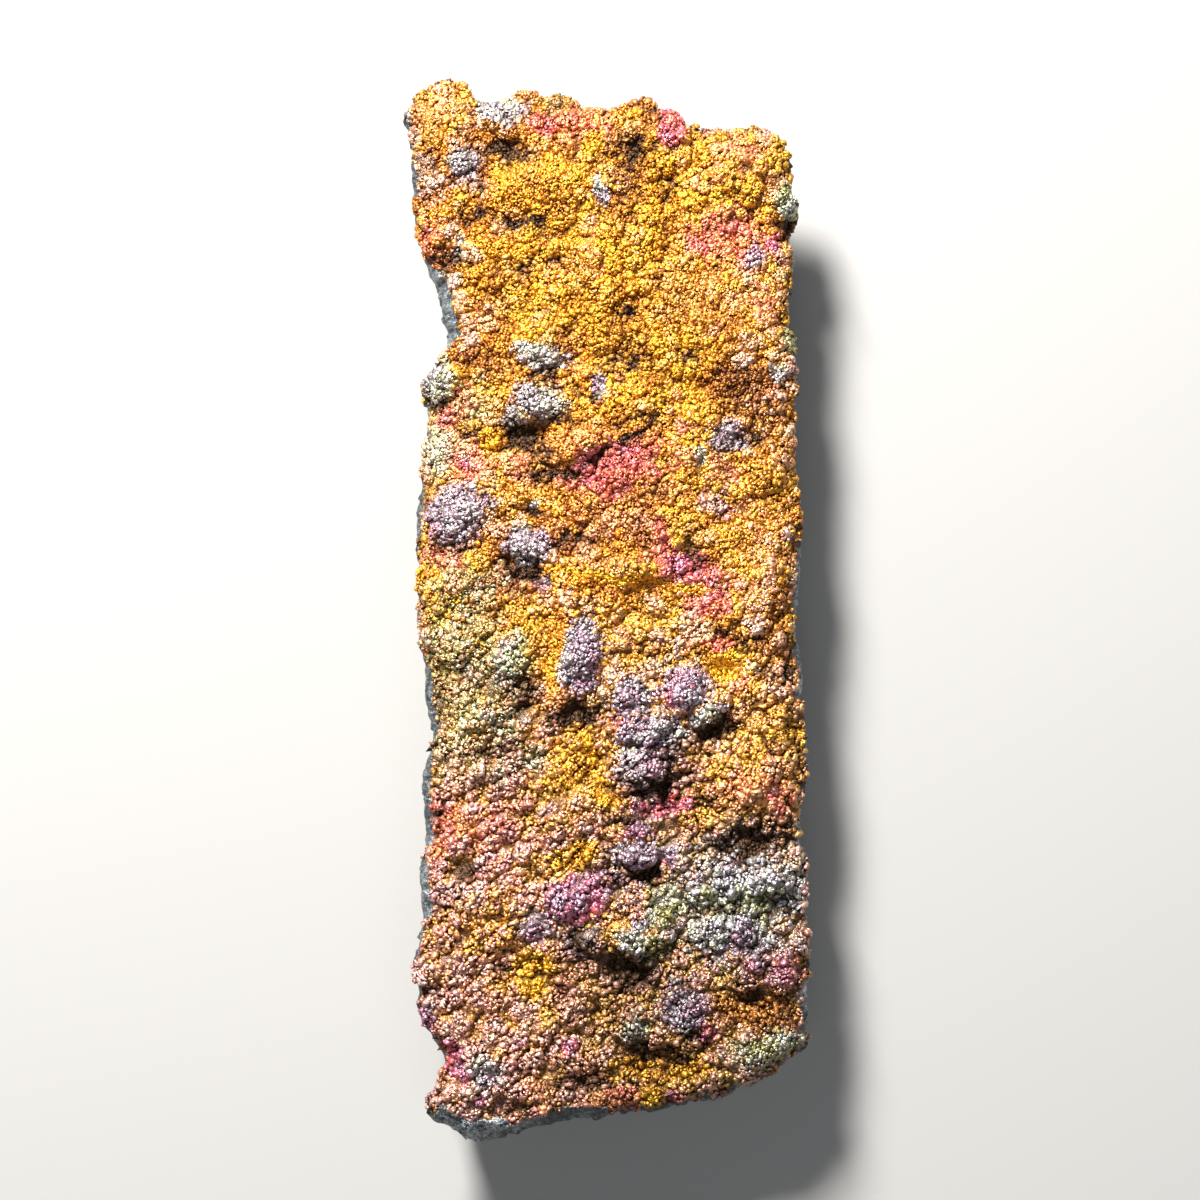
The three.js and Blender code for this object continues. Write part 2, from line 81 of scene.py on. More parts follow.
# A plain pale floor under soft studio light: a key lamp beyond the slab's north end lights the
# north faces of the knobs and leaves the south faces dark, and a wide lamp above fills in.
class Value:
    """A number on a socket of a material, for sums that add their own Math nodes."""

    def __init__(self, paint, socket):
        self.paint = paint
        self.socket = socket

    def __add__(self, other):
        return self.paint.maths("ADD", self, other)

    def __sub__(self, other):
        return self.paint.maths("SUBTRACT", self, other)

    def __rsub__(self, other):
        return self.paint.maths("SUBTRACT", other, self)

    def __mul__(self, other):
        return self.paint.maths("MULTIPLY", self, other)

    __radd__ = __add__
    __rmul__ = __mul__


class Paint:
    """A material under construction."""

    def __init__(self, name):
        self.material = bpy.data.materials.new(name)
        self.material.use_nodes = True
        self.nodes = self.material.node_tree.nodes
        self.nodes.clear()

    def node(self, kind, settings=None, **values):
        """Adds a node, sets it up, and gives its sockets values or links."""
        made = self.nodes.new(kind)
        for name, setting in (settings or {}).items():
            if name == "stops":
                self.set_stops(made.color_ramp, setting)
            else:
                setattr(made, name, setting)
        for name, value in values.items():
            self.fill(self.socket_of(made.inputs, name), value)
        return made

    def socket_of(self, sockets, name):
        """A socket by its place, as in in_0, or by its name in small letters."""
        if name.startswith("in_"):
            return sockets[int(name[3:])]
        return next(s for s in sockets if s.name.lower().replace(" ", "_") == name)

    def fill(self, socket, value):
        if isinstance(value, Value):
            value = value.socket
        if isinstance(value, bpy.types.NodeSocket):
            self.material.node_tree.links.new(value, socket)
        else:
            socket.default_value = value

    def set_stops(self, ramp, stops):
        while len(ramp.elements) < len(stops):
            ramp.elements.new(1.0)
        for element, (place, colour) in zip(ramp.elements, stops):
            element.position = place
            element.color = (*colour, 1)

    def maths(self, operation, first, second):
        made = self.node("ShaderNodeMath", {"operation": operation}, in_0=first, in_1=second)
        return Value(self, made.outputs[0])

    def attribute(self, name):
        return Value(self, self.node("ShaderNodeAttribute", {"attribute_name": name}).outputs["Fac"])

    def colour_attribute(self, name):
        return self.node("ShaderNodeAttribute", {"attribute_name": name}).outputs["Color"]

    def noise(self, size, detail=3.0, stretch=(1, 1, 1)):
        """Noise from 0 to 1 over the object, with features of this size in metres."""
        place = self.node("ShaderNodeTexCoord").outputs["Object"]
        scale = tuple(1 / (size * part) for part in stretch)
        placed = self.node("ShaderNodeMapping", None, vector=place, scale=scale)
        made = self.node("ShaderNodeTexNoise", None, vector=placed.outputs[0], scale=1.0, detail=detail)
        return Value(self, made.outputs["Fac"])

    def ramp(self, value, stops):
        made = self.node("ShaderNodeValToRGB", {"stops": stops}, in_0=value)
        made.color_ramp.interpolation = "EASE"
        return made.outputs["Color"]

    def mix(self, factor, first, second, blend="MIX"):
        settings = {"data_type": "RGBA", "blend_type": blend}
        made = self.node("ShaderNodeMix", settings, in_0=factor, in_6=first, in_7=second)
        return made.outputs[2]

    def bump(self, height, distance, under=None):
        made = self.node("ShaderNodeBump", None, height=height, distance=distance, strength=1.0)
        if under is not None:
            self.fill(made.inputs["Normal"], under)
        return made.outputs["Normal"]

    def finish(self, **values):
        surface = self.node("ShaderNodeBsdfPrincipled", None, **values)
        self.node("ShaderNodeOutputMaterial", None, surface=surface.outputs[0])
        return self.material


FLOOR_HALF = 3.0
FLOOR_GREY = (0.38, 0.375, 0.365, 1)
floor_shape = bmesh.new()
bmesh.ops.create_grid(floor_shape, x_segments=1, y_segments=1, size=FLOOR_HALF)
floor_mesh = bpy.data.meshes.new("floor")
floor_shape.to_mesh(floor_mesh)
floor_shape.free()
floor = bpy.data.objects.new("floor", floor_mesh)
bpy.context.scene.collection.objects.link(floor)
floor_paint = Paint("pale floor")
floor_mesh.materials.append(
    floor_paint.finish(base_color=FLOOR_GREY, roughness=0.85, metallic=0.0)
)


def add_lamp(name, place, size, power, colour):
    data = bpy.data.lights.new(name, "AREA")
    data.shape = "SQUARE"
    data.size = size
    data.energy = power
    data.color = colour
    lamp = bpy.data.objects.new(name, data)
    lamp.location = place
    lamp.rotation_euler = (-Vector(place)).to_track_quat("-Z", "Y").to_euler()
    bpy.context.scene.collection.objects.link(lamp)


add_lamp("key", place=(-0.16, 0.37, 0.33), size=0.12, power=9.8, colour=(1.0, 0.98, 0.95))
add_lamp("fill", place=(0.10, -0.20, 0.60), size=0.50, power=1.0, colour=(0.94, 0.97, 1.0))
ROOM_COLOUR = (0.9, 0.93, 1.0, 1)
ROOM_STRENGTH = 0.12
world = bpy.data.worlds.new("studio")
world.use_nodes = True
room = world.node_tree.nodes["Background"].inputs
room["Color"].default_value = ROOM_COLOUR
room["Strength"].default_value = ROOM_STRENGTH
bpy.context.scene.world = world
bpy.context.scene.view_settings.view_transform = "Standard"

# The slab is one piece of fibrous goethite, broken out of a vein: knobs and ledges on top under
# the film, silky grey fibres on the broken sides, and a rust-stained back. It is the packed
# solid subdivided and then raised into finer knobs and facets, with all sizes in millimetres.
FINE_LEVELS = 2
EDGE_BAND = 1.0
LEAN = 0.55
RELIEF_REACH = 2.2
CRUST_SINK = 0.26
LUMPS = 4.6
KNOBS_WIDE = 2.4
KNOBS_SMALL = 1.25
RIDGE_TURN = math.radians(33)
RIDGE_LENGTH = 1.9
RIDGED_MOST = 0.85
RIDGES_FINER = 1.15

# Strips where the crust stops short of the slab's outline and the broken side shows from above:
# where each begins and ends along its edge, and how wide it is, in millimetres.
BARE_STRIPS = {
    "west": [(43, 47, 0.6), (28, 36, 1.6), (8, 14, 0.6), (-13, -5, 0.9), (-24, -14, 0.9),
             (-31, -25, 1.3), (-35, -31, 0.4)],
    "east": [(0, 8, 0.6), (-9, -1, 0.6), (-14, -12, 0.3), (-24, -21, 0.8), (-43.5, -38, 0.8)],
    "north": [(-13, -9.5, 0.5)],
    "south": [(-17.5, -9.5, 3.0), (-9.5, 0.5, 1.9), (0.5, 20, 0.3)],
}
STRIP_FADE = 0.9
STRIP_LEAST = 0.15

shape = bmesh.new()
shape.from_mesh(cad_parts["goethite"].data)
bmesh.ops.remove_doubles(shape, verts=shape.verts, dist=0.001 * MM)
bmesh.ops.join_triangles(
    shape, faces=shape.faces, angle_face_threshold=math.pi, angle_shape_threshold=math.pi
)
coarse_mesh = bpy.data.meshes.new("slab coarse")
shape.to_mesh(coarse_mesh)
shape.free()
slab = bpy.data.objects.new("slab", coarse_mesh)
bpy.context.scene.collection.objects.link(slab)
finer = slab.modifiers.new("finer", "SUBSURF")
finer.levels = FINE_LEVELS
finer.render_levels = FINE_LEVELS
slab_mesh = bpy.data.meshes.new_from_object(slab.evaluated_get(bpy.context.evaluated_depsgraph_get()))
slab_mesh.name = "slab"
slab.modifiers.clear()
slab.data = slab_mesh
for face in slab_mesh.polygons:
    face.use_smooth = True


def read_vectors(items, name):
    flat = np.zeros(len(items) * 3, np.float32)
    items.foreach_get(name, flat)
    return flat.reshape(-1, 3).astype(float)


def smoothstep(value, start, end):
    share = np.clip((value - start) / (end - start), 0, 1)
    return share * share * (3 - 2 * share)


def each(places, scale, function):
    """What a function of a Vector gives at every place, on a scale of its own."""
    return np.array([function(Vector(place)) for place in places * np.array(scale)])


places = read_vectors(slab_mesh.vertices, "co") / MM
normals = read_vectors(slab_mesh.vertex_normals, "vector")


def edge_curve(along, across, pick):
    """The outline's place on one side of the slab, one value to a band along it."""
    bands = np.floor(along / EDGE_BAND).astype(int)
    first = bands.min()
    curve = np.array([pick(across[bands == band]) if (bands == band).any() else 0
                      for band in range(first, bands.max() + 1)])
    return np.interp(along, (np.arange(len(curve)) + first + 0.5) * EDGE_BAND, curve)


def strip_width(strips, along):
    widths = [width * (smoothstep(along, start - STRIP_FADE, start + STRIP_FADE)
                       - smoothstep(along, end - STRIP_FADE, end + STRIP_FADE))
              for start, end, width in strips]
    return np.max(widths, axis=0)


# The crust covers what faces up and lies high, and away from the edge also what faces sideways.
# Each pair of values is where the crust starts and where it is full.
FACES_UP = (0.12, 0.38)
LIES_HIGH = (6.5, 8.0)
INNER_FROM_EDGE = (0.8, 1.6)
INNER_FACES_UP = (-0.2, 0.0)
INNER_LIES_HIGH = (7.0, 8.5)
BESIDE_STRIP = (-0.2, 0.25)
ABOVE_LEDGES = (-2.6, -2.0)

x, y, z = places.T
from_edge = {
    "west": x - edge_curve(y, x, np.min),
    "east": edge_curve(y, x, np.max) - x,
    "south": y - edge_curve(x, y, np.min),
    "north": edge_curve(x, y, np.max) - y,
}
along_edge = {"west": y, "east": y, "south": x, "north": x}
crust = smoothstep(normals[:, 2], *FACES_UP) * smoothstep(z, *LIES_HIGH)
inner = smoothstep(np.min(list(from_edge.values()), axis=0), *INNER_FROM_EDGE)
inner *= smoothstep(z, *INNER_LIES_HIGH) * smoothstep(normals[:, 2], *INNER_FACES_UP)
crust = np.maximum(crust, inner)
for side, strips in BARE_STRIPS.items():
    bare = strip_width(strips, along_edge[side])
    covered = smoothstep(from_edge[side] - bare, *BESIDE_STRIP)
    crust *= np.where(bare > STRIP_LEAST, covered, 1)


def local_mean(x, y, values, weights, reach, cell=0.5):
    """The mean of the values round each place, weighted by a bell curve of this reach."""
    columns = ((x - x.min()) / cell).astype(int)
    rows = ((y - y.min()) / cell).astype(int)
    size = (columns.max() + 1, rows.max() + 1)
    sums = np.zeros((2, *size))
    np.add.at(sums[0], (columns, rows), values * weights)
    np.add.at(sums[1], (columns, rows), weights)
    steps = np.arange(-int(3 * reach / cell), int(3 * reach / cell) + 1)
    bell = np.exp(-0.5 * (steps * cell / reach) ** 2)
    for axis in (1, 2):
        sums = np.apply_along_axis(np.convolve, axis, sums, bell, "same")
    mean = sums[0] / np.maximum(sums[1], 1e-6)
    return mean[columns, rows]


# Ledges far below the rest of the crust belong to the broken sides and have no crust.
relief = (z - local_mean(x, y, z, crust + 1e-3, RELIEF_REACH)) * crust
crust *= smoothstep(relief, *ABOVE_LEDGES)


def south_share(y):
    """From 0 in the slab's north to 1 in its south, where the knobs are taller."""
    return smoothstep(-y, -14, 22)


southern = south_share(y)

CREASE = 0.32
KNOB_REACH = 0.75
KNOB_ROUND = 0.6


def knob(place):
    """The height of the knob at a place, how deep the place is in a crease, and the knob's hue."""
    distances, middles = noise.voronoi(place)
    crease = (1 - min(1.0, (distances[1] - distances[0]) / CREASE)) ** 2
    dome = max(0.0, 1 - (distances[0] / KNOB_REACH) ** 2)
    height = KNOB_ROUND * dome + (1 - KNOB_ROUND) * (1 - crease)
    return height, crease, noise.cell(middles[0])


# Heights of the knobs in the north, what the south adds to them, and their mean on a scale to 1.
LUMPS_RISE = (0.28, 0.27, 0.75)
WIDE_RISE = (0.50, 0.45, 0.75)
SMALL_RISE = (0.34, 0.20, 0.6)


def raised(heights, rise, southern):
    """How far knobs of these heights, from 0 to 1, rise above or sink below their mean."""
    north, south_more, mean = rise
    return (north + south_more * southern) * (heights - mean)


def knobs_at(spots):
    """How far broad and small knobs raise each spot, its crease, its knob's hue, and its top."""
    x, y, z = spots.T
    southern = south_share(y)
    turned = np.stack([
        (x * math.cos(RIDGE_TURN) + y * math.sin(RIDGE_TURN)) / RIDGE_LENGTH,
        y * math.cos(RIDGE_TURN) - x * math.sin(RIDGE_TURN),
        z,
    ], axis=1)
    ridged = (southern * smoothstep(-x, -6, 6) * RIDGED_MOST)[:, None]
    lumps = each(turned + 50.0, [1 / LUMPS] * 3, knob)
    wide = each(spots, [1 / KNOBS_WIDE] * 3, knob)
    wide += (each(turned, [RIDGES_FINER / KNOBS_WIDE] * 3, knob) - wide) * ridged
    small = each(spots, [1 / KNOBS_SMALL] * 3, knob)
    broad_rise = raised(lumps[:, 0], LUMPS_RISE, southern) + raised(wide[:, 0], WIDE_RISE, southern)
    small_rise = raised(small[:, 0], SMALL_RISE, southern)
    crease = 0.35 * lumps[:, 1] + 0.40 * wide[:, 1] + 0.30 * small[:, 1]
    hue = 0.60 * wide[:, 2] + 0.40 * small[:, 2]
    return broad_rise, small_rise, crease, hue, 0.7 * wide[:, 0] + 0.3 * small[:, 0]


# Places where the crust is smoother than elsewhere: x, y, half widths, turn, and how smooth.
SMOOTH_PATCHES = [
    (-6.5, 44.6, 4.2, 2.6, 6, 0.5), (2.7, 3.9, 7.6, 1.0, -9, 1.0), (-5.4, 12.4, 3.0, 0.9, 0, 0.8),
    (15.5, 6.5, 4.0, 4.5, 0, 0.5), (12.5, -5.0, 3.2, 1.7, -20, 1.0), (17.0, -44.0, 4.0, 1.8, 14, 0.7),
    (-5.2, -4.0, 0.9, 4.0, -4, 0.7), (8.4, -7.0, 2.4, 2.0, 0, 0.4), (13.0, 33.0, 6.0, 5.0, 0, 0.3),
]


def patch_share(x, y, patch):
    """How much a place belongs to an oval patch, from 0 outside it to 1 in its middle."""
    middle_x, middle_y, half_width, half_height, turn = patch[:5]
    turn = math.radians(turn)
    across = ((x - middle_x) * math.cos(turn) + (y - middle_y) * math.sin(turn)) / half_width
    along = ((y - middle_y) * math.cos(turn) - (x - middle_x) * math.sin(turn)) / half_height
    return np.exp(-(across ** 2 + along ** 2) ** 1.5 * 0.7)


smooth = np.max([patch[5] * patch_share(x, y, patch) for patch in SMOOTH_PATCHES], axis=0)
rough = 1 - smooth
knob_rise, _, creases, hue, top = knobs_at(places)
rise = crust * (rough * knob_rise - CRUST_SINK)

# The broken sides are small flat facets with fine fibres that run down from the crust. The
# noise that tilts the facets has a seed, so that they come out the same each time.
FACETS = 1.5
FACET_FLATNESS = 0.6
FACET_RISE = 0.75
FIBRE_WAVES = [1 / 0.7, 1 / 0.7, 0.22]
FIBRE_RISE = 0.16
BROKEN_SINK = 0.12
FACET_SEED = 5
noise.seed_set(FACET_SEED)


def facet(place):
    """The height of the tilted flat facet that a place is on."""
    middle = noise.voronoi(place)[1][0]
    tilt = noise.noise_vector(middle * 3.1)
    return (place - middle).dot(tilt)


facets = each(places, [1 / FACETS, 1 / FACETS, FACET_FLATNESS / FACETS], facet)
fibres = each(places, FIBRE_WAVES, noise.noise)
broken = (1 - crust) * smoothstep(z, 0.3, 1.2)
rise += broken * (FACET_RISE * facets + FIBRE_RISE * fibres - BROKEN_SINK)


def move_slab(places):
    slab_mesh.vertices.foreach_set("co", (places * MM).astype(np.float32).ravel())
    slab_mesh.update()
    return read_vectors(slab_mesh.vertex_normals, "vector")


places[:, 1] -= LEAN * relief
normals = move_slab(places)
places += normals * rise[:, None]
places[:, 2] = np.maximum(places[:, 2], 0)
x, y, z = places.T
move_slab(places)

# The film on the crust is a few hundred nanometres of oxide, and its thickness gives its
# colour, from copper brown through gold, orange and rose to violet, silver and pale green.
# Each patch is x, y, half widths, turn, film and strength.
FILM_PATCHES = [
    (0.0, 33.0, 13.0, 20.0, 0, 0.31, 0.45), (14.0, 44.0, 7.0, 8.0, 0, 0.40, 0.4),
    (0.0, 14.0, 12.0, 7.0, 8, 0.47, 0.45), (14.0, 12.0, 7.0, 12.0, 0, 0.40, 0.45),
    (-14.0, -6.0, 7.0, 12.0, 0, 0.97, 0.55), (4.0, -8.0, 9.0, 9.0, 0, 0.76, 0.4),
    (13.0, -28.0, 10.0, 8.0, 8, 0.82, 0.6), (0.0, -27.0, 8.0, 8.0, 30, 0.72, 0.4),
    (-3.4, -14.6, 3.6, 3.8, 0, 0.32, 0.65), (15.8, -12.6, 4.6, 3.8, 0, 0.34, 0.6),
    (-9.0, 0.0, 4.0, 3.0, 0, 0.30, 0.6), (10.0, -20.5, 3.0, 1.6, 10, 0.36, 0.6),
    (-17.0, 52.3, 3.6, 3.0, 0, 0.40, 0.7), (-20.6, 51.4, 1.2, 1.2, 0, 0.82, 0.9),
    (-10.6, 52.2, 2.6, 1.8, 0, 0.80, 0.9), (-9.8, 52.6, 1.0, 1.0, 0, 0.92, 0.7),
    (-5.0, 52.7, 2.2, 1.2, 0, 0.96, 0.5), (-6.2, 50.4, 1.6, 1.2, 0, 0.55, 0.9),
    (-2.0, 50.6, 3.6, 1.8, 0, 0.46, 0.8), (6.7, 50.6, 1.5, 2.4, 8, 0.61, 0.95),
    (8.6, 48.0, 1.6, 1.4, 0, 0.33, 0.7), (13.6, 47.0, 5.0, 3.4, 0, 0.43, 0.6),
    (18.0, 47.4, 1.4, 2.0, 0, 0.32, 0.9), (18.8, 43.0, 1.4, 1.9, 0, 0.92, 1.0),
    (5.4, 39.2, 3.4, 4.4, 0, 0.30, 0.6), (12.4, 38.8, 5.2, 3.0, 0, 0.51, 0.7),
    (15.3, 37.2, 1.1, 1.2, 0, 0.69, 0.9), (17.0, 38.5, 0.9, 1.0, 0, 0.60, 0.9),
    (-14.6, 46.6, 1.6, 1.6, 0, 0.80, 0.8), (-18.8, 45.6, 1.4, 2.6, 0, 0.84, 0.5),
    (-14.7, 37.9, 0.7, 1.2, 10, 0.84, 0.9), (-18.0, 38.2, 1.4, 2.2, 0, 0.52, 0.7),
    (-0.5, 43.6, 0.5, 1.3, 0, 0.84, 1.0), (-8.0, 43.6, 5.0, 2.4, 0, 0.18, 0.6),
    (-1.8, 47.4, 0.8, 3.4, -25, 0.33, 0.9), (12.0, 32.6, 7.0, 4.0, 0, 0.43, 0.5),
    (-3.0, 33.6, 6.0, 3.0, 0, 0.25, 0.5), (-6.5, 26.7, 2.7, 1.3, -8, 0.80, 0.85),
    (-0.6, 23.8, 0.9, 1.3, 0, 0.75, 0.9), (-17.2, 24.6, 2.2, 2.6, 0, 0.86, 0.85),
    (-13.4, 22.4, 2.4, 3.4, 0, 0.93, 0.4), (18.8, 28.2, 1.0, 1.2, 0, 0.94, 0.9),
    (17.5, 25.4, 0.9, 1.0, 0, 0.86, 0.8), (-6.4, 22.0, 3.0, 1.7, -8, 0.82, 0.9),
    (-9.8, 20.4, 1.4, 1.6, 0, 0.85, 0.8), (1.2, 15.4, 4.4, 2.8, 20, 0.56, 0.9),
    (-3.4, 13.8, 1.8, 1.0, 0, 0.57, 0.7), (-5.4, 12.4, 2.8, 0.8, 0, 0.13, 0.9),
    (-7.4, 11.6, 0.9, 0.5, 0, 0.86, 1.0), (12.3, 18.4, 1.7, 1.9, 0, 0.75, 0.85),
    (9.6, 16.4, 0.8, 0.9, 0, 0.86, 0.8), (-17.0, 17.6, 1.8, 3.0, 0, 0.87, 0.7),
    (-15.0, 10.8, 3.3, 2.8, 15, 0.74, 0.9), (-8.2, 7.7, 2.3, 1.8, 0, 0.77, 0.9),
    (-6.2, 3.6, 1.4, 1.0, 0, 0.72, 0.7), (11.6, 11.6, 2.6, 1.8, 0, 0.70, 0.45),
    (-14.5, -0.5, 4.4, 7.0, 0, 0.95, 0.4), (-9.4, -4.0, 2.2, 2.0, 0, 0.92, 0.8),
    (5.6, 8.0, 1.1, 2.5, 0, 0.56, 0.95), (7.5, 5.1, 2.7, 1.8, 0, 0.62, 0.95),
    (10.8, 4.2, 1.2, 1.6, 0, 0.58, 0.8), (1.6, 5.2, 6.0, 1.0, -5, 0.40, 0.6),
    (2.7, 3.9, 7.6, 0.6, -9, 0.26, 1.0), (11.5, 1.4, 1.8, 1.6, 0, 0.58, 0.85),
    (-2.5, -4.0, 1.8, 4.2, -6, 0.76, 0.95), (-5.1, -3.6, 0.9, 4.0, -4, 0.22, 0.9),
    (12.5, -5.0, 3.2, 1.7, -20, 0.32, 1.0), (8.4, -7.0, 2.5, 2.2, 0, 0.75, 0.95),
    (10.6, -9.9, 2.2, 0.9, 15, 0.83, 0.9), (2.9, -8.0, 2.0, 2.0, 0, 0.75, 0.9),
    (4.8, -11.6, 3.8, 1.7, 0, 0.77, 0.9), (11.4, -2.8, 1.8, 1.0, 0, 0.57, 0.85),
    (13.9, -6.6, 0.9, 1.4, 0, 0.53, 0.6), (2.6, -2.6, 2.2, 2.8, 0, 0.36, 0.5),
    (19.7, 3.0, 0.9, 3.4, 0, 0.79, 0.6), (17.6, 7.4, 3.0, 5.0, 0, 0.38, 0.4),
    (-12.4, -10.4, 3.4, 2.0, 12, 0.93, 0.5), (-7.4, -14.2, 1.7, 1.0, 20, 0.95, 0.7),
    (-1.0, -15.0, 1.0, 4.0, 12, 0.33, 0.95), (0.3, -18.4, 1.2, 1.0, 0, 0.30, 0.9),
    (4.0, -15.2, 3.0, 2.4, 0, 0.77, 0.8), (4.0, -19.5, 1.8, 1.0, 0, 0.69, 0.9),
    (6.8, -19.4, 2.4, 1.0, 0, 0.60, 0.9), (3.4, -21.6, 1.6, 1.0, 0, 0.71, 0.85),
    (3.4, -24.0, 2.7, 1.3, 0, 0.77, 0.95), (6.3, -24.2, 1.2, 1.0, 0, 0.73, 0.9),
    (-3.2, -24.3, 2.6, 1.5, 20, 0.31, 0.9), (-2.5, -28.5, 3.7, 2.3, 30, 0.68, 0.95),
    (-7.3, -31.4, 2.0, 1.9, 35, 0.74, 0.95), (-16.8, -21.2, 2.0, 3.0, 0, 0.56, 0.7),
    (-12.4, -21.5, 4.0, 2.4, 20, 0.49, 0.5), (15.4, -17.4, 4.2, 2.8, 0, 0.45, 0.5),
    (12.0, -14.8, 2.0, 2.0, 0, 0.30, 0.6), (17.6, -18.6, 1.4, 2.0, 0, 0.55, 0.6),
    (14.4, -28.4, 6.0, 3.4, 8, 0.85, 0.95), (6.0, -29.4, 2.4, 2.0, 25, 0.94, 0.85),
    (13.0, -32.6, 5.2, 1.9, -6, 0.80, 0.85), (17.2, -35.6, 3.6, 1.8, -18, 0.66, 0.6),
    (1.2, -31.6, 1.2, 1.0, 0, 0.40, 0.9), (3.6, -31.2, 0.9, 0.7, 0, 0.80, 0.9),
    (5.6, -33.4, 2.4, 1.2, 20, 0.95, 0.85), (3.0, -32.9, 2.0, 1.0, 0, 0.87, 0.9),
    (-2.4, -32.8, 2.0, 1.6, 0, 0.80, 0.6), (-7.2, -36.6, 2.1, 2.2, 15, 0.33, 1.0),
    (15.0, -40.0, 4.6, 2.0, -10, 0.08, 0.85), (16.6, -43.8, 3.8, 1.5, 14, 0.95, 0.9),
    (6.0, -46.0, 6.0, 1.6, 0, 0.24, 0.9), (8.0, -39.6, 2.3, 2.3, 0, 0.75, 0.85),
    (8.8, -41.4, 1.0, 1.0, 0, 0.79, 0.9), (10.2, -42.4, 1.0, 0.8, 0, 0.66, 0.8),
    (3.2, -42.0, 1.4, 1.1, 0, 0.90, 0.9), (-15.4, -45.0, 1.3, 2.3, 20, 0.62, 1.0),
    (-12.6, -49.3, 0.8, 0.7, 0, 0.64, 0.9), (-3.8, -43.9, 1.2, 0.9, 0, 0.62, 0.85),
    (-12.4, -46.2, 1.5, 1.7, 0, 0.81, 0.8), (-18.0, -40.8, 1.1, 1.2, 0, 0.67, 0.9),
    (2.2, -49.3, 4.6, 1.3, 5, 0.52, 0.75), (4.8, -48.8, 1.2, 0.9, 0, 0.33, 0.9),
    (6.7, -49.2, 0.9, 0.7, 0, 0.63, 0.9), (14.0, -45.6, 3.0, 1.8, 10, 0.79, 0.4),
    (-12.0, -31.0, 5.0, 4.0, 30, 0.36, 0.5), (3.4, -36.4, 3.2, 2.4, 0, 0.72, 0.5),
]
